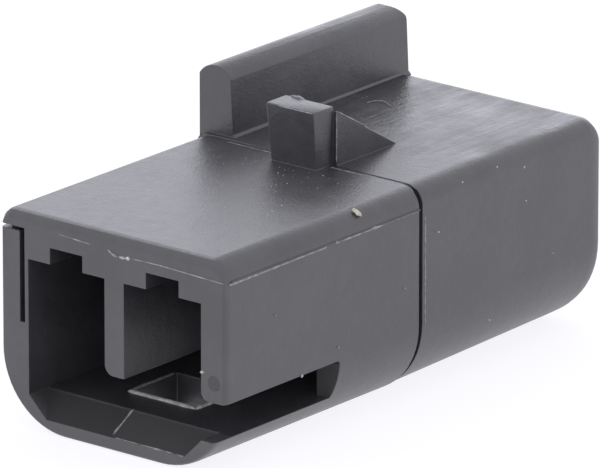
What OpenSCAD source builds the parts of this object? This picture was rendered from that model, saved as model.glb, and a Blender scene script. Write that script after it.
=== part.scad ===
// Two-way wire-to-wire connector housing, moulded in one piece from black nylon.
// X runs across the housing, Y from the wire entry back to the mating hood, Z up.
// The pieces are drawn with the wire entry at y = 0, and the finished housing is
// moved so that the origin is at the middle of its underside.

/* [Body] */
// Width of the rear half, which is the widest part
body_w = 6.0; // [5.9:0.02:8]
// Height from the underside to the top face
body_h = 4.58; // [4.3:0.02:6]
// Length from the wire entry to the mating end
body_l = 12.35; // [11.6:0.05:16]
// Distance from the wire entry to the mould parting line
seam_y = 6.33; // [6.1:0.01:7]
// Radius of the long upper edge on the left
left_r = 0.28; // [0.15:0.01:0.5]
// Radius of the long upper edge on the right
right_r = 0.42; // [0.2:0.02:0.6]
// Radius of the two long lower edges
lower_r = 1.65; // [1.2:0.05:1.8]
// Step from the left side of the rear half in to the front half
left_step = 0.14; // [0.05:0.01:0.3]
// Step from the right side of the front half in to the rear half
right_step = 0.05; // [0.02:0.01:0.2]
// How far the rounded front edge reaches back from the wire entry
entry_edge_l = 0.2; // [0.1:0.01:0.3]
// How far the rounded front edge draws in the sides and the underside
entry_edge_in = 0.06; // [0.04:0.01:0.2]
// How far the rounded front edge draws in the top face
entry_top_in = 0.24; // [0.1:0.01:0.3]
// How far the rounded rear edge reaches forward from the mating end
mating_edge_l = 0.35; // [0.1:0.01:0.5]
// How far the rounded rear edge draws in the sides and the underside
mating_edge_in = 0.08; // [0.04:0.01:0.2]
// How far the rounded rear edge draws in the top face
mating_top_in = 0.3; // [0.1:0.01:0.4]
// Growth of the two lower edge radii from the parting line to the mating end
lower_growth = 0.23; // [0:0.01:0.3]
// Draft of the right side from the parting line to the mating end
side_draft = 0.05; // [0:0.01:0.1]
// Width of the groove at the parting line
seam_gap = 0.11; // [0.04:0.01:0.15]
// Depth of the groove at the parting line, at the sides and below
seam_depth = 0.08; // [0.02:0.01:0.1]
// Depth of the groove at the parting line on the top face
seam_top_depth = 0.015; // [0.005:0.005:0.04]
// How far the parting flash stands out of the front half
flash_t = 0.03; // [0.01:0.01:0.06]

/* [Contact cavities] */
// Distance between the two contact cavities
pitch = 2.5; // [2.4:0.05:2.7]
// Sideways offset of the pair of cavities from the middle
cavity_shift = 0.11; // [0:0.01:0.2]
// Width of a cavity
cavity_w = 2.0; // [1.7:0.05:2.1]
// Height of the flat roof of a cavity above the underside
roof_z = 3.62; // [3.3:0.02:3.8]
// Width of the key notch in the roof
notch_w = 0.85; // [0.6:0.05:1.2]
// Height of the key notch above the roof
notch_h = 0.35; // [0.2:0.01:0.4]
// Height of the lower end of the partition and of the right wall
skirt_z = 1.6; // [1.3:0.05:1.9]
// Radius of the lower end of the partition on its left
partition_r = 0.22; // [0.1:0.01:0.3]
// Radius of the inner lower edge of the right wall
skirt_r = 0.18; // [0.1:0.01:0.4]
// Thickness of the floor
floor_t = 0.75; // [0.6:0.05:0.9]
// Height of the lip of the lead-in ramp at the wire entry
lip_z = 0.3; // [0.2:0.05:0.5]
// Length of the lead-in ramp
ramp_l = 0.6; // [0.4:0.05:1.2]
// Reach of the side slot and of the open space under the partition
slot_l = 3.65; // [3.4:0.05:4.2]
// Radius of the upper rear corner of the side slot
slot_r = 0.1; // [0.04:0.01:0.2]

/* [Floor window] */
// Width of the window for the contact latch
window_w = 1.76; // [1.2:0.02:2]
// Length of the window
window_l = 1.53; // [1:0.01:1.8]
// Sideways offset of the window from the middle
window_shift = 0.17; // [0:0.01:0.3]
// Distance from the wire entry to the window
window_y = 1.42; // [1.2:0.01:1.6]

/* [Side latch tab] */
// Thickness of the tab beside the left wall
tab_t = 0.5; // [0.4:0.01:0.52]
// Width of the gap behind the tab
tab_gap = 0.13; // [0.1:0.01:0.14]
// Height of the lower end of the gap
tab_z = 2.25; // [2:0.05:2.6]
// Height of the gap
tab_h = 2.0; // [1.2:0.05:2.05]
// Height of the narrow gap above the tab
tab_top_gap = 0.08; // [0.04:0.01:0.12]
// Depth of the narrow gap above the tab
tab_top_l = 0.35; // [0.2:0.05:0.8]
// Length of the gap
tab_l = 3.6; // [2:0.1:4]

/* [Top lug] */
// Width of the catch lug at its top
lug_w = 1.26; // [1.1:0.02:1.6]
// Width that the lug loses down to its foot
lug_taper = 0.08; // [0:0.01:0.15]
// Thickness of the lug at its top
lug_t = 0.65; // [0.5:0.01:0.9]
// Height of the lug above the top face
lug_h = 1.26; // [0.8:0.02:1.5]
// How far the catch face leans forward from its foot to its top
lug_rake = 0.12; // [0:0.01:0.2]
// Sideways offset of the lug from the middle
lug_shift = 0.01; // [-0.1:0.01:0.1]
// Width of the ramp behind the lug
ramp_w = 1.42; // [1.3:0.02:1.8]
// Length of the ramp behind the lug
lug_ramp_l = 1.97; // [1.4:0.01:2.4]
// Height that the ramp stays below the lug
ramp_drop = 0.09; // [0.05:0.01:0.2]

/* [Side fin] */
// Thickness of the fin along the left side of the rear half
fin_t = 0.89; // [0.7:0.01:1.2]
// Height of the fin above the top face
fin_h = 1.46; // [1.1:0.01:2]
// Thickness that the fin loses from its foot to its top
fin_taper = 0.07; // [0:0.01:0.12]
// Rise of the crowned top of the fin over its shoulders
fin_crown = 0.21; // [0.1:0.01:0.3]
// Size of the bevel at the foot of the fin
fin_foot = 0.05; // [0.03:0.01:0.1]
// Radius of the upper rear corner of the fin
fin_end_r = 0.36; // [0.3:0.01:0.8]
// Distance from the parting line to the front of the fin
fin_start = 0.13; // [0.02:0.01:0.3]
// Distance from the rear end of the fin to the mating end
fin_gap = 0.12; // [0.05:0.01:0.3]

/* [Mating hood] */
// Wall of the hood at the mating end
hood_wall = 0.62; // [0.5:0.02:0.8]
// Depth of the open hood
hood_depth = 4.2; // [3:0.1:4.4]
// Thickness of the web between the contact cavities and the hood
web_t = 0.8; // [0.6:0.05:1.2]
// Side of the square hole for each contact pin
pin_hole = 1.2; // [0.8:0.05:1.4]

/* [Hidden] */
$fn = 64;
// Overlap that lets a cut run past the face it opens
past = 0.5;
// Thickness of the slices that a drafted half is stretched between
slice_t = 0.02;
// Least radius of a corner that runs along the body
least_r = 0.1;
edge_turns = [0, 30, 60, 90];
left_x = -body_w / 2;
right_x = body_w / 2 - flash_t;
front_left_x = left_x + left_step;
rear_right_x = right_x - right_step;
cavity_xs = [cavity_shift - pitch / 2, cavity_shift + pitch / 2];
inner_left_x = cavity_xs[0] - cavity_w / 2;
inner_right_x = cavity_xs[1] + cavity_w / 2;
partition_w = pitch - cavity_w;
web_y = body_l - hood_depth - web_t;
hood_y = body_l - hood_depth;

// Stands a profile drawn in X and Z on the line y = from and runs it back to y = to
module run_back(from, to) {
    translate([0, to, 0]) rotate([90, 0, 0]) linear_extrude(to - from) children();
}

// Lays a profile drawn in Y and Z between x = from and x = to
module run_across(from, to) {
    translate([from, 0, 0]) rotate([90, 0, 90]) linear_extrude(to - from) children();
}

// Cross-section of the body, drawn in all round by inset: small upper corners and
// wide lower ones of radius low_r, none of them sharper than least_r
module section(x0, x1, z0, z1, low_r, inset) {
    low = max(low_r - inset, least_r);
    left = max(left_r - inset, least_r);
    right = max(right_r - inset, least_r);
    translate([x0 + inset, z0 + inset]) {
        w = x1 - x0 - 2 * inset;
        h = z1 - z0 - 2 * inset;
        translate([low, 0]) square([w - 2 * low, h / 2]);
        translate([0, low]) square([w, h - low - max(left, right)]);
        translate([left, h / 2]) square([w - left - right, h / 2]);
        translate([0, h / 2]) square([w / 2, h / 2 - left]);
        translate([w / 2, h / 2]) square([w / 2, h / 2 - right]);
        for (x = [low, w - low]) translate([x, low]) circle(low);
        translate([left, h - left]) circle(left);
        translate([w - right, h - right]) circle(right);
    }
}

// A thin slice of a body half at one place along its length
module slice(y, x0, x1, top_z, low_r, inset) {
    run_back(y, y + slice_t) section(x0, x1, 0, top_z, low_r, inset);
}

// Front half with the wire entry, its front edge rounded
module front_half() {
    hull() {
        for (turn = edge_turns)
            slice(entry_edge_l * (1 - sin(turn)), front_left_x, right_x,
                  body_h - (entry_top_in - entry_edge_in) * (1 - cos(turn)), lower_r,
                  entry_edge_in * (1 - cos(turn)));
        slice(seam_y - seam_gap - slice_t, front_left_x, right_x, body_h, lower_r, 0);
    }
}

// Bottom of the groove at the parting line
module seam_neck() {
    side_depth = seam_depth - seam_top_depth;
    run_back(seam_y - seam_gap - past, seam_y + past)
        section(front_left_x + side_depth, rear_right_x - side_depth, side_depth, body_h,
                lower_r, seam_top_depth);
}

// Rear half with the mating hood, drafted towards its rounded rear edge
module rear_half() {
    hull() {
        slice(seam_y, left_x, rear_right_x, body_h, lower_r, 0);
        for (turn = edge_turns)
            slice(body_l - slice_t - mating_edge_l * (1 - sin(turn)), left_x,
                  rear_right_x - side_draft,
                  body_h - (mating_top_in - mating_edge_in) * (1 - cos(turn)),
                  lower_r + lower_growth, mating_edge_in * (1 - cos(turn)));
    }
}

// Fin that guides the mating half along the left side, tapered, with a crowned top
module fin() {
    root_z = body_h - 2 * left_r;
    top_z = body_h + fin_h;
    inner_x = left_x + fin_t;
    half_top = (fin_t - fin_taper) / 2;
    crown_r = (half_top * half_top + fin_crown * fin_crown) / (2 * fin_crown);
    run_back(seam_y + fin_start, body_l - fin_gap) {
        intersection() {
            polygon([[left_x, root_z], [inner_x, root_z], [inner_x, body_h],
                     [left_x + 2 * half_top, top_z], [left_x + 2 * half_top, top_z + past],
                     [left_x, top_z + past]]);
            union() {
                translate([left_x, root_z]) square([fin_t, top_z - crown_r - root_z]);
                translate([left_x + half_top, top_z - crown_r]) circle(crown_r);
            }
        }
        polygon([[inner_x - fin_foot, body_h - fin_foot], [inner_x + fin_foot, body_h - fin_foot],
                 [inner_x + fin_foot, body_h], [inner_x - fin_foot, body_h + 2 * fin_foot]]);
    }
}

// Waste at the upper rear corner of the fin
module fin_corner_cut() {
    end_y = body_l - fin_gap;
    top_z = body_h + fin_h;
    run_across(left_x - past, left_x + fin_t + past) difference() {
        translate([end_y - fin_end_r, top_z - fin_end_r]) square(fin_end_r + past);
        translate([end_y - fin_end_r, top_z - fin_end_r]) circle(fin_end_r);
    }
}

// Catch lug on the top face, with the ramp that lifts the mating latch over it
module lug() {
    top_z = body_h + lug_h;
    foot_z = body_h - past;
    half_top = lug_w / 2;
    half_foot = (lug_w - lug_taper) / 2;
    intersection() {
        run_across(lug_shift - lug_w, lug_shift + lug_w)
            polygon([[seam_y - lug_t + lug_rake, foot_z], [seam_y - lug_t + lug_rake, body_h],
                     [seam_y - lug_t, top_z], [seam_y, top_z], [seam_y, foot_z]]);
        run_back(seam_y - lug_t - past, seam_y) translate([lug_shift, 0])
            polygon([[-half_foot, foot_z], [half_foot, foot_z], [half_foot, body_h],
                     [half_top, top_z], [-half_top, top_z], [-half_foot, body_h]]);
    }
    run_across(lug_shift - ramp_w / 2, lug_shift + ramp_w / 2)
        polygon([[seam_y, foot_z], [seam_y, top_z - ramp_drop],
                 [seam_y + lug_ramp_l, body_h], [seam_y + lug_ramp_l, foot_z]]);
}

// Parting flash along the right upper edge of the front half
module flash() {
    run_back(entry_edge_l, seam_y - seam_gap)
        translate([right_x - past, body_h - right_r - flash_t]) square([past + flash_t, flash_t]);
}

// One contact cavity, with its key notch in the roof
module cavity(x) {
    run_back(-past, web_y) {
        translate([x - cavity_w / 2, floor_t]) square([cavity_w, roof_z - floor_t]);
        translate([x - notch_w / 2, roof_z - past]) square([notch_w, notch_h + past]);
    }
    run_back(web_y - past, hood_y + past)
        translate([x - pin_hole / 2, (floor_t + roof_z - pin_hole) / 2]) square(pin_hole);
}

// Open space below the partition, which runs out through the right wall as a slot
module side_slot() {
    run_across(inner_left_x, right_x + past) {
        translate([-past, floor_t]) square([past + slot_l, skirt_z - floor_t - slot_r]);
        translate([-past, floor_t]) square([past + slot_l - slot_r, skirt_z - floor_t]);
        translate([slot_l - slot_r, skirt_z - slot_r]) circle(slot_r);
    }
}

// Waste between a square corner and a rounding of radius r that faces down and to one side
module corner_waste(x, r, side) {
    run_back(-past, slot_l - slot_r) translate([x, skirt_z]) mirror([side, 0]) difference() {
        translate([-slice_t, -slice_t]) square(r + slice_t);
        translate([r, r]) circle(r);
    }
}

// Lead-in ramp of the floor, with bevelled ends
module lead_in() {
    rise = floor_t - lip_z;
    mid_z = (floor_t + skirt_z) / 2;
    intersection() {
        run_across(inner_left_x, inner_right_x + rise)
            polygon([[-past, lip_z], [0, lip_z], [ramp_l, floor_t], [ramp_l, mid_z], [-past, mid_z]]);
        run_back(-past, ramp_l)
            polygon([[inner_left_x, mid_z], [inner_left_x, floor_t], [inner_left_x + rise, lip_z],
                     [inner_right_x - rise, lip_z], [inner_right_x, floor_t], [inner_right_x, mid_z]]);
    }
}

// Window through the floor for the contact latch
module floor_window() {
    translate([window_shift - window_w / 2, window_y, -past]) cube([window_w, window_l, floor_t + 2 * past]);
}

// Gap that frees the latch tab on the left side
module tab_gap_cut() {
    translate([front_left_x + tab_t, -past, tab_z]) cube([tab_gap, tab_l + past, tab_h]);
    translate([front_left_x - past, -past, tab_z + tab_h - tab_top_gap])
        cube([past + tab_t + tab_gap / 2, tab_top_l + past, tab_top_gap]);
}

// Open inside of the mating hood
module hood_space() {
    run_back(hood_y, body_l + past)
        section(front_left_x, rear_right_x - side_draft, 0, body_h, lower_r + lower_growth, hood_wall);
}

module housing() {
    color([0.1, 0.1, 0.105]) translate([0, -body_l / 2, 0]) difference() {
        union() {
            front_half();
            seam_neck();
            rear_half();
            fin();
            lug();
            flash();
        }
        for (x = cavity_xs) cavity(x);
        side_slot();
        corner_waste(cavity_shift - partition_w / 2, partition_r, 0);
        corner_waste(inner_right_x, skirt_r, 0);
        lead_in();
        floor_window();
        tab_gap_cut();
        hood_space();
        fin_corner_cut();
    }
}

housing();
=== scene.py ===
import math
import random

import bmesh
import bpy
from mathutils import Matrix, Vector


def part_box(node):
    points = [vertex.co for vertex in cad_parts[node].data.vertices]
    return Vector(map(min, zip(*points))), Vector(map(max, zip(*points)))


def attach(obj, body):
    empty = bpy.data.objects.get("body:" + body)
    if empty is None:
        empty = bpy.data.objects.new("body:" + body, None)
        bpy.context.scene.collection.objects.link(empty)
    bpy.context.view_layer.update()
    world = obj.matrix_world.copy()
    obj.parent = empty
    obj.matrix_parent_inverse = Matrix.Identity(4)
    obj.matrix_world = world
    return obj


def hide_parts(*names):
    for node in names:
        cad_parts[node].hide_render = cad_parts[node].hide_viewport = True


# ---------------------------------------------------------------------------
# Housing. A single moulding in black glass-filled nylon, straight from a
# spark-eroded steel mould: satin faces with a fine grain, flow streaks over
# the mating hood, and edges that the mould leaves very slightly rounded.
# ---------------------------------------------------------------------------
MM = 0.001
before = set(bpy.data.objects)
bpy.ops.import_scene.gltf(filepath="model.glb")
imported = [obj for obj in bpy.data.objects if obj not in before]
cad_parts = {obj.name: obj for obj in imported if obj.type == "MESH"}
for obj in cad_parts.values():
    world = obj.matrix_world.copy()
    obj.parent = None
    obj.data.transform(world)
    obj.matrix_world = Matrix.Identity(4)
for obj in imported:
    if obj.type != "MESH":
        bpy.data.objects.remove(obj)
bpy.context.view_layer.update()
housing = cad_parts["housing"]
low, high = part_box("housing")
ENTRY_Y, RIGHT_X = low.y, high.x
TOP_Z = 4.58 * MM
SEAM_FRONT, SEAM_REAR = 0.045 * MM, 0.155 * MM
GROOVE_TOP = 4.5  # mm: the groove is only worn open below this height
GROOVE_SINK, GROOVE_SPREAD = 0.965, 1.6
PIN_X, PIN_Z, PIN_RADIUS, PIN_BLUR = 2.69 * MM, 2.01 * MM, 0.15 * MM, 0.02 * MM
SOFT_EDGES = (  # two corners of a box in mm, and the radius of the edges inside it
    ((-0.75, -0.95, 4.57), (0.75, 2.20, 6.0), 0.040),  # catch lug and the ramp behind it
    ((-3.10, 0.20, 4.57), (-2.0, 6.20, 6.1), 0.025),  # guide fin
    ((-0.75, -4.80, 0.7), (1.10, -3.20, 0.8), 0.050),  # floor window
    ((-3.10, -6.18, 0.2), (3.10, -6.17, 4.7), 0.020),  # wire entry
    ((-3.10, 6.12, 0.0), (3.10, 6.18, 4.7), 0.020),  # mating end
)


def inside(point, corner, opposite):
    """Whether a point lies in the box between two corners, which are in mm."""
    return all(a * MM <= c <= b * MM for c, a, b in zip(point, corner, opposite))


def soften(mesh, corner, opposite, radius, shallowest=25, sliver=0.02 * MM):
    """Rounds the outer edges that lie wholly inside a box, apart from slivers."""
    tight = {v for e in mesh.edges if e.calc_length() < sliver for v in e.verts}
    sharp = [
        e for e in mesh.edges
        if e.is_convex and e.calc_face_angle(0.0) > math.radians(shallowest)
        and all(inside(v.co, corner, opposite) and v not in tight for v in e.verts)
    ]
    if sharp:
        bmesh.ops.bevel(
            mesh, geom=sharp, offset=radius, offset_type="OFFSET", affect="EDGES",
            segments=2, profile=0.5, material=-1, clamp_overlap=True,
        )


class Sock:
    """A shader socket that takes part in ordinary arithmetic."""

    def __init__(self, shader, socket):
        self.shader = shader
        self.socket = socket

    def _math(self, operation, *values):
        return self.shader.node("ShaderNodeMath", {"operation": operation}, *values)

    def __add__(self, other):
        return self._math("ADD", self, other)

    def __radd__(self, other):
        return self._math("ADD", other, self)

    def __sub__(self, other):
        return self._math("SUBTRACT", self, other)

    def __rsub__(self, other):
        return self._math("SUBTRACT", other, self)

    def __mul__(self, other):
        return self._math("MULTIPLY", self, other)

    def __rmul__(self, other):
        return self._math("MULTIPLY", other, self)

    def __pow__(self, other):
        return self._math("POWER", self, other)

    def ramp(self, start, end):
        """0 before start and 1 after end, with a smooth climb between them."""
        return self.shader.node(
            "ShaderNodeMapRange", {"interpolation_type": "SMOOTHSTEP"}, self, start, end, 0.0, 1.0
        )


class Shader:
    """Builds one material's nodes."""

    def __init__(self, name):
        self.material = bpy.data.materials.new(name)
        self.material.use_nodes = True
        self.tree = self.material.node_tree
        self.tree.nodes.clear()
        self.output = self.tree.nodes.new("ShaderNodeOutputMaterial")

    def node(self, kind, settings, *inputs, output=0, **named):
        """A node with its settings, then the values or links of its sockets. None skips one."""
        made = self.tree.nodes.new(kind)
        for key, value in settings.items():
            setattr(made, key, value)
        for place, value in list(enumerate(inputs)) + list(named.items()):
            self.link(made.inputs[place], value)
        return Sock(self, made.outputs[output])

    def link(self, target, value):
        if isinstance(value, Sock):
            self.tree.links.new(value.socket, target)
        elif value is not None:
            target.default_value = value

    def place(self):
        return self.node("ShaderNodeTexCoord", {}, output="Object")

    def xyz(self, vector):
        return [
            self.node("ShaderNodeSeparateXYZ", {}, vector, output=axis) for axis in ("X", "Y", "Z")
        ]

    def noise(self, vector, size, detail=2.0, rough=0.5, stretch=(1.0, 1.0, 1.0)):
        """Soft noise whose cells measure about size metres, stretched along the axes."""
        cells = tuple(1.0 / (size * s) for s in stretch)
        scaled = self.node("ShaderNodeVectorMath", {"operation": "MULTIPLY"}, vector, cells)
        return self.node(
            "ShaderNodeTexNoise", {}, Vector=scaled, Scale=1.0, Detail=detail, Roughness=rough
        )

    def blend(self, factor, first, second):
        """A mix of two colours, which are the node's inputs 6 and 7."""
        skipped = [None] * 5
        return self.node(
            "ShaderNodeMix", {"data_type": "RGBA"}, factor, *skipped, first, second, output=2
        )

    def bump(self, height, distance, strength=1.0, normal=None):
        return self.node(
            "ShaderNodeBump", {}, Strength=strength, Distance=distance, Height=height, Normal=normal
        )

    def finish(self, color, roughness, normal=None, **fixed):
        principled = self.node(
            "ShaderNodeBsdfPrincipled", {}, Roughness=roughness, Normal=normal,
            **{"Base Color": color}, **fixed,
        )
        return self.surface(principled)

    def surface(self, result):
        self.link(self.output.inputs["Surface"], result)
        return self.material


def black_nylon():
    shader = Shader("black_nylon")
    place = shader.place()
    x, y, z = shader.xyz(place)
    cloud = shader.noise(place, 1.3 * MM, detail=3.0)
    mottle = shader.noise(place, 0.28 * MM, detail=3.0, rough=0.6)
    grain = shader.noise(place, 0.045 * MM, rough=0.6)
    specks = shader.noise(place, 0.09 * MM, rough=0.7)
    streaks = shader.noise(place, 0.16 * MM, detail=3.0, stretch=(1.0, 7.0, 1.0))

    up = shader.xyz(shader.node("ShaderNodeNewGeometry", {}, output="Normal"))[2]
    facing_up = up.ramp(0.8, 0.98)
    over_hood = y.ramp(1.2 * MM, 2.4 * MM) * facing_up
    dust = specks.ramp(0.62, 0.74) * facing_up

    # The sloped floor behind the entry's lip is rubbed matt. Its colour is painted shade,
    # near black, and that painted shade is lighter on its right half.
    before_floor = (1 - y.ramp(-5.62 * MM, -5.56 * MM)) * (1 - z.ramp(0.70 * MM, 0.80 * MM))
    entry_ramp = up.ramp(0.6, 0.75) * before_floor
    less_shade_right = entry_ramp * x.ramp(0.02 * MM, 0.12 * MM)

    # An ejector pin left a shallow round mark low on the right of the entry face: a dent
    # in the bumps, with its shade painted near black into the colour.
    across, down = x - PIN_X, z - PIN_Z
    from_pin = (across * across + down * down) ** 0.5
    entry_face = 1 - y.ramp(-6.16 * MM, -6.10 * MM)
    pin_dent_and_shade = (1 - from_pin.ramp(PIN_RADIUS - PIN_BLUR, PIN_RADIUS + PIN_BLUR)) * entry_face

    dark, pale = (0.033, 0.033, 0.039, 1.0), (0.046, 0.046, 0.053, 1.0)
    # A near-black painted shade, for the entry's sloped floor and the pin's dent.
    deep, dusty = (0.004, 0.004, 0.005, 1.0), (0.3, 0.3, 0.31, 1.0)
    color = shader.blend((0.6 * cloud + 0.4 * mottle).ramp(0.38, 0.62), dark, pale)
    # Painted shade: the entry's sloped floor goes near black, less so on its right half.
    color = shader.blend(entry_ramp - 0.35 * less_shade_right, color, deep)
    # Painted shade: the pin's shallow dent is painted near black.
    color = shader.blend(pin_dent_and_shade, color, deep)
    color = shader.blend(dust * 0.21, color, dusty)

    satin = 0.35 + 0.08 * cloud + 0.10 * (mottle - 0.5)
    flow = 0.20 * (streaks - 0.5) + 0.30 * (cloud - 0.5)
    roughness = satin + flow * over_hood + 0.5 * entry_ramp
    dusted = grain * 0.6 + specks * 0.5 * facing_up + mottle
    height = dusted + streaks * 1.6 * over_hood - pin_dent_and_shade * 3.0
    rounded = shader.node("ShaderNodeBevel", {"samples": 6}, 0.03 * MM)
    normal = shader.bump(height, 0.011 * MM, 0.8, rounded)
    return shader.finish(color, roughness, normal, IOR=1.85)


def shown(mesh, name, finish):
    """Makes a piece from a bmesh, with its place in its vertices."""
    data = bpy.data.meshes.new(name)
    mesh.to_mesh(data)
    mesh.free()
    data.materials.append(finish)
    piece = bpy.data.objects.new(name, data)
    bpy.context.scene.collection.objects.link(piece)
    return piece


skin = bmesh.new()
skin.from_mesh(housing.data)
bmesh.ops.remove_doubles(skin, verts=skin.verts, dist=0.0002 * MM)
bmesh.ops.dissolve_limit(skin, angle_limit=math.radians(1), verts=skin.verts, edges=skin.edges)

# On the sides the groove of the mould's parting line is worn open, and too deep for light.
groove_floor = {
    v for f in skin.faces for v in f.verts
    if abs(f.normal.y) < 0.3 and inside(v.co, (-3, 0, 0), (3, 1, GROOVE_TOP))
    and all(SEAM_FRONT - 0.005 * MM < w.co.y < SEAM_REAR + 0.005 * MM for w in f.verts)
}
bmesh.ops.scale(skin, vec=(GROOVE_SINK, 1.0, 1.0), verts=list(groove_floor))
from_groove = Matrix.Translation((0.0, -(SEAM_FRONT + SEAM_REAR) / 2, 0.0))
groove = [v for v in skin.verts if inside(v.co, (-3.1, 0.04, -0.1), (3.1, 0.16, GROOVE_TOP))]
bmesh.ops.scale(skin, vec=(1.0, GROOVE_SPREAD, 1.0), space=from_groove, verts=groove)

for corner, opposite, radius in SOFT_EDGES:
    soften(skin, corner, opposite, radius * MM)
moulding = shown(skin, "moulding", black_nylon())
# The stored normals of the plain solid no longer fit its rounded copy.
moulding.data.attributes.remove(moulding.data.attributes["custom_normal"])
moulding.data.shade_smooth()
moulding.data.set_sharp_from_angle(angle=math.radians(32))
weighted = moulding.modifiers.new("flat_faces", "WEIGHTED_NORMAL")
weighted.keep_sharp = True
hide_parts("housing")
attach(moulding, "root")

# ---------------------------------------------------------------------------
# Flash. Thin ragged threads of nylon that seeped into the mould's joints and
# set there, half sunk in the edge they run along. Their pale colour is painted
# highlight, for the light that these thin ridges and the edges they follow catch.
# ---------------------------------------------------------------------------
FLASH_STEP = 0.08  # mm between the points of a thread
right = RIGHT_X / MM
mouth = ENTRY_Y / MM
top = TOP_Z / MM
side = right - 0.02
shoulder = 4.13
floor = 0.75


# The threads' nylon, far paler than the moulding: the paleness is painted highlight.
def flash_highlight_nylon(name, dull, bright):
    shader = Shader(name)
    place = shader.place()
    worn = shader.noise(place, 0.12 * MM, detail=3.0, rough=0.6)
    grain = shader.noise(place, 0.03 * MM)
    color = shader.blend(worn.ramp(0.3, 0.7), dull, bright)
    roughness = 0.60 + 0.2 * worn
    return shader.finish(color, roughness, shader.bump(grain, 0.004 * MM), IOR=1.85)


def threads(name, finish):
    """An empty piece for round threads. The radii of their points are in metres."""
    curve = bpy.data.curves.new(name, "CURVE")
    curve.dimensions = "3D"
    curve.bevel_depth = 1.0
    curve.bevel_resolution = 1
    curve.use_fill_caps = True
    curve.materials.append(finish)
    piece = bpy.data.objects.new(name, curve)
    bpy.context.scene.collection.objects.link(piece)
    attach(piece, "root")
    return piece


def flash(piece, route, thick, seed, ragged=0.4):
    """A thread along straight runs between points in mm, whose thickness wanders."""
    chance = random.Random(seed)
    path = [Vector(route[0])]
    for start, stop in zip(route, route[1:]):
        start, stop = Vector(start), Vector(stop)
        count = max(2, round((stop - start).length / FLASH_STEP))
        path += [start.lerp(stop, (i + 1) / count) for i in range(count)]
    line = piece.data.splines.new("POLY")
    line.points.add(len(path) - 1)
    swell = 1.0
    for point, place in zip(line.points, path):
        swell += 0.5 * (1.0 - swell) + ragged * chance.uniform(-0.6, 0.6)
        point.co = (*(place * MM), 1.0)
        point.radius = thick * MM * min(2.2, max(0.5, swell))
    line.points[0].radius = line.points[-1].radius = 0.1 * thick * MM


# Painted highlight: grey threads, and brighter ones where the edges catch most light.
flash_highlight = flash_highlight_nylon("flash_highlight_nylon", (0.16, 0.16, 0.17, 1.0), (0.34, 0.34, 0.36, 1.0))
bright_flash_highlight = flash_highlight_nylon("bright_flash_highlight_nylon", (0.34, 0.33, 0.31, 1.0), (0.60, 0.59, 0.57, 1.0))
grey = threads("flash", flash_highlight)
white = threads("bright_flash_and_highlight", bright_flash_highlight)

# Along the right shoulder, from the entry to the parting line.
flash(grey, [(side, mouth + 0.12, 4.10), (side, -2.95, 4.12)], 0.028, 1, ragged=0.3)
flash(grey, [(side, -2.75, shoulder), (side, -0.80, shoulder)], 0.025, 2, ragged=0.6)
flash(grey, [(side, -0.80, shoulder), (side, 0.00, shoulder)], 0.020, 3)
# Across the top of the entry face.
flash(grey, [(-1.35, mouth, 4.31), (-0.50, mouth, 4.27)], 0.014, 4, ragged=0.8)
flash(grey, [(-0.05, mouth, 4.25), (0.10, mouth, 4.17), (0.22, mouth, 4.15)], 0.026, 5)
# A brighter knot: painted highlight for the lit ledge at the top of the entry face.
entry_knot = [(0.18, mouth + 0.02, 4.16), (0.33, mouth + 0.02, 4.15), (0.56, mouth + 0.02, 4.18)]
flash(white, entry_knot, 0.036, 15, ragged=0.9)
flash(grey, [(0.56, mouth, 4.19), (1.30, mouth, 4.20), (2.96, mouth, 4.15)], 0.013, 6)
# On the parting line: left and right of the lug, then down the right side.
flash(grey, [(-2.05, 0.00, top), (-0.64, 0.00, top)], 0.010, 7, ragged=0.9)
flash(grey, [(0.66, 0.00, top), (1.75, 0.00, top)], 0.012, 8, ragged=0.9)
flash(grey, [(side, 0.20, 4.00), (side, 0.20, 1.60)], 0.014, 16)
# At the foot of the fin.
flash(grey, [(-2.11, 0.30, top), (-2.11, 5.90, top)], 0.018, 9, ragged=0.3)
# Round the floor window: left, front and right. The bright front and right threads
# are painted highlight, the light that the window's near rim catches.
flash(grey, [(-0.71, -3.30, floor), (-0.71, -4.70, floor)], 0.026, 10, ragged=0.3)
flash(white, [(-0.72, -4.77, floor), (1.05, -4.77, floor)], 0.055, 11, ragged=0.12)
flash(white, [(1.06, -4.77, floor), (1.06, -3.40, floor)], 0.050, 17, ragged=0.12)
# On the right edges of the ramp behind the lug, pale as painted edge highlights.
flash(grey, [(0.71, 0.15, 4.64), (0.71, 0.15, 5.72)], 0.010, 20)
flash(grey, [(0.71, 0.17, 5.735), (0.71, 1.10, 5.19)], 0.016, 21)
# Up the sloped floor of the entry and along its lip. The lip's pale thread is
# painted highlight, for the light on the lip's edge.
flash(grey, [(0.02, -6.12, 0.34), (0.10, -5.55, 0.76)], 0.026, 12, ragged=0.5)
lip = [(0.06, mouth + 0.02, 0.30), (1.40, mouth + 0.02, 0.30), (1.96, mouth + 0.02, 0.29)]
flash(grey, lip, 0.018, 18)
# On the front and rear top edges of the lug.
flash(grey, [(-0.30, -0.49, 5.82), (0.62, -0.49, 5.82)], 0.016, 13, ragged=0.9)
flash(grey, [(-0.52, 0.14, 5.83), (-0.10, 0.14, 5.83)], 0.034, 14, ragged=0.9)
# One bead on the right wall's edge in the entry, painted bright as a highlight.
flash(white, [(2.37, mouth + 0.03, 2.24), (2.40, mouth + 0.03, 2.14)], 0.060, 19)

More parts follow.
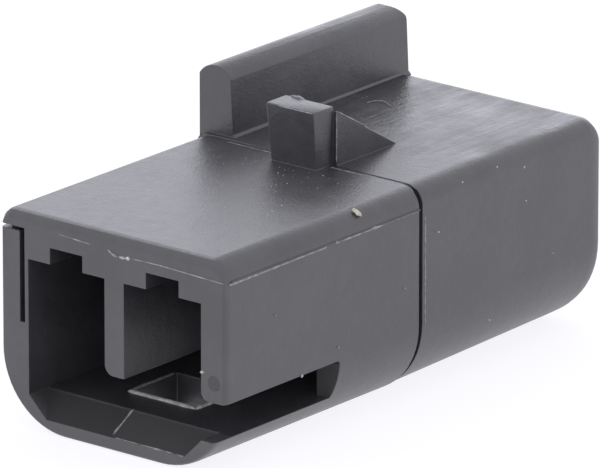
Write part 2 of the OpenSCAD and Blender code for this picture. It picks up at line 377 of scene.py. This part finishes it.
# ---------------------------------------------------------------------------
# Fines and lint. Loose pale grains of nylon and packing dust round the catch
# lug and on the right side, a cream chip on the shoulder and a stray fibre.
# ---------------------------------------------------------------------------
SIDE_GRAINS = (
    (3.50, 3.46), (0.62, 3.52), (-0.47, 2.60), (4.40, 2.1), (-2.6, 1.9), (2.3, 1.2), (-4.6, 3.1)
)
SHOULDER_GRAINS = ((1.43, 4.37), (2.57, 4.41), (3.47, 4.18))
CHIP_PLACE, CHIP_SIZE, CHIP_TILT = (2.84, -1.82, 4.53), 0.11 * MM, math.radians(38)
FIBRE_THICKNESS = 0.009 * MM
FIBRE_PATH = ((-1.47, 3.85, top + 0.01), (-1.30, 4.08, top + 0.03), (-0.91, 3.95, top + 0.01))


def pale_grit(name, color):
    shader = Shader(name)
    tone = shader.noise(shader.place(), 0.05 * MM)
    dim = tuple(c * 0.6 for c in color[:3]) + (1.0,)
    return shader.finish(shader.blend(tone.ramp(0.35, 0.65), dim, color), 0.7 + 0.2 * tone)


def grain(mesh, place, size, chance, flat=0.45):
    """One angular grain, lying flat on whatever it sits on."""
    made = bmesh.ops.create_icosphere(mesh, subdivisions=1, radius=1.0)["verts"]
    for corner in made:
        corner.co *= chance.uniform(0.7, 1.25)
    shape = (size * chance.uniform(0.6, 1.5), size * chance.uniform(0.6, 1.2), size * flat)
    turn = Matrix.Rotation(chance.uniform(0.0, math.tau), 3, "Z")
    bmesh.ops.scale(mesh, vec=shape, verts=made)
    bmesh.ops.rotate(mesh, matrix=turn, verts=made)
    bmesh.ops.translate(mesh, vec=Vector(place) * MM, verts=made)


chance = random.Random(21)
grit = bmesh.new()
for _ in range(130):
    near = Vector((chance.gauss(0.0, 1.1), chance.gauss(-1.0, 1.3), top))
    on_top = -2.6 < near.x < 2.6 and -6.0 < near.y < 0.0
    under_lug = -0.66 < near.x < 0.68 and near.y > -0.52
    if on_top and not under_lug:
        grain(grit, near, chance.uniform(0.006, 0.018) * MM, chance)
for _ in range(60):
    over_hood = (chance.uniform(-1.8, 2.6), chance.uniform(0.3, 6.0), top)
    grain(grit, over_hood, chance.uniform(0.006, 0.014) * MM, chance)
for y, z in SIDE_GRAINS:
    grain(grit, (right - 0.01, y, z), 0.018 * MM, chance, flat=1.0)
for y, z in SHOULDER_GRAINS:
    grain(grit, (right - 0.04, y, z), 0.025 * MM, chance, flat=1.0)
grain(grit, (right - 0.03, -3.75, 1.60), 0.045 * MM, chance, flat=1.0)
fines = shown(grit, "fines", pale_grit("nylon_fines", (0.55, 0.55, 0.58, 1.0)))
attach(fines, "root")

flake = bmesh.new()
grain(flake, (0.0, 0.0, 0.0), CHIP_SIZE, random.Random(5), flat=0.25)
bmesh.ops.rotate(flake, matrix=Matrix.Rotation(CHIP_TILT, 3, "Y"), verts=flake.verts)
bmesh.ops.translate(flake, vec=Vector(CHIP_PLACE) * MM, verts=flake.verts)
chip = shown(flake, "chip", pale_grit("cream_chip", (0.62, 0.58, 0.48, 1.0)))
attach(chip, "root")

fibre = threads("fibre", pale_grit("lint", (0.40, 0.38, 0.35, 1.0)))
strand = fibre.data.splines.new("BEZIER")
strand.bezier_points.add(len(FIBRE_PATH) - 1)
for point, place in zip(strand.bezier_points, FIBRE_PATH):
    point.co = Vector(place) * MM
    point.radius = FIBRE_THICKNESS
    point.handle_left_type = point.handle_right_type = "AUTO"

# ---------------------------------------------------------------------------
# Table. One pale sheet that the housing lies on and that runs to the horizon.
# ---------------------------------------------------------------------------
TABLE_REACH, TABLE_GAP = 1.5, 0.003 * MM


def white_sheet():
    shader = Shader("white_sheet")
    diffuse = shader.node("ShaderNodeBsdfDiffuse", {}, (0.93, 0.93, 0.93, 1.0))
    glow = shader.node("ShaderNodeEmission", {}, (0.98, 0.98, 1.02, 1.0), 1.1)
    seen = shader.node("ShaderNodeLightPath", {}, output="Is Camera Ray")
    mirrored = shader.node("ShaderNodeLightPath", {}, output="Is Glossy Ray")
    glowing = seen * 0.8 + mirrored * 0.9
    return shader.surface(shader.node("ShaderNodeMixShader", {}, glowing, diffuse, glow))


sheet = bmesh.new()
bmesh.ops.create_grid(sheet, x_segments=1, y_segments=1, size=TABLE_REACH)
bmesh.ops.translate(sheet, vec=(0.0, 0.0, low.z - TABLE_GAP), verts=sheet.verts)
table = shown(sheet, "table", white_sheet())

# ---------------------------------------------------------------------------
# Studio light. A white surround, and one soft box low behind the hood on its
# left side, whose reflection puts the pale sheen on the top faces.
# ---------------------------------------------------------------------------
BOX_AZIMUTH, BOX_ELEVATION = math.radians(219), math.radians(16)
BOX_DISTANCE, BOX_SIZE, BOX_POWER = 0.16, 0.13, 0.064

world = bpy.data.worlds.new("studio")
world.use_nodes = True
surround = world.node_tree.nodes["Background"]
surround.inputs["Color"].default_value = (0.98, 0.98, 1.02, 1.0)
surround.inputs["Strength"].default_value = 1.0
bpy.context.scene.world = world

lamp = bpy.data.lights.new("rear_window", "AREA")
lamp.shape = "SQUARE"
lamp.size = BOX_SIZE
lamp.energy = BOX_POWER
lamp.color = (0.92, 0.93, 1.06)
level = math.cos(BOX_ELEVATION)
away = Vector((
    math.sin(BOX_AZIMUTH) * level, -math.cos(BOX_AZIMUTH) * level, math.sin(BOX_ELEVATION)
))
holder = bpy.data.objects.new("rear_window", lamp)
holder.location = away * BOX_DISTANCE
holder.rotation_euler = away.to_track_quat("Z", "Y").to_euler()
bpy.context.scene.collection.objects.link(holder)

# ---------------------------------------------------------------------------
# Camera. A long lens, to the right of the wire entry and a little above it.
# ---------------------------------------------------------------------------
CAMERA_AZIMUTH, CAMERA_ELEVATION = math.radians(39.08), math.radians(18.14)
CAMERA_PLACE = Vector((141.617, -174.533, 76.654)) * MM

camera_data = bpy.data.cameras.new("camera")
camera_data.lens = 696.7
camera_data.sensor_width = 36.0
camera_data.clip_start = 0.01
camera_data.clip_end = 10.0
camera = bpy.data.objects.new("camera", camera_data)
camera.location = CAMERA_PLACE
camera.rotation_euler = (math.radians(90) - CAMERA_ELEVATION, 0.0, CAMERA_AZIMUTH)
bpy.context.scene.collection.objects.link(camera)
bpy.context.scene.camera = camera
bpy.context.scene.view_settings.view_transform = "Standard"
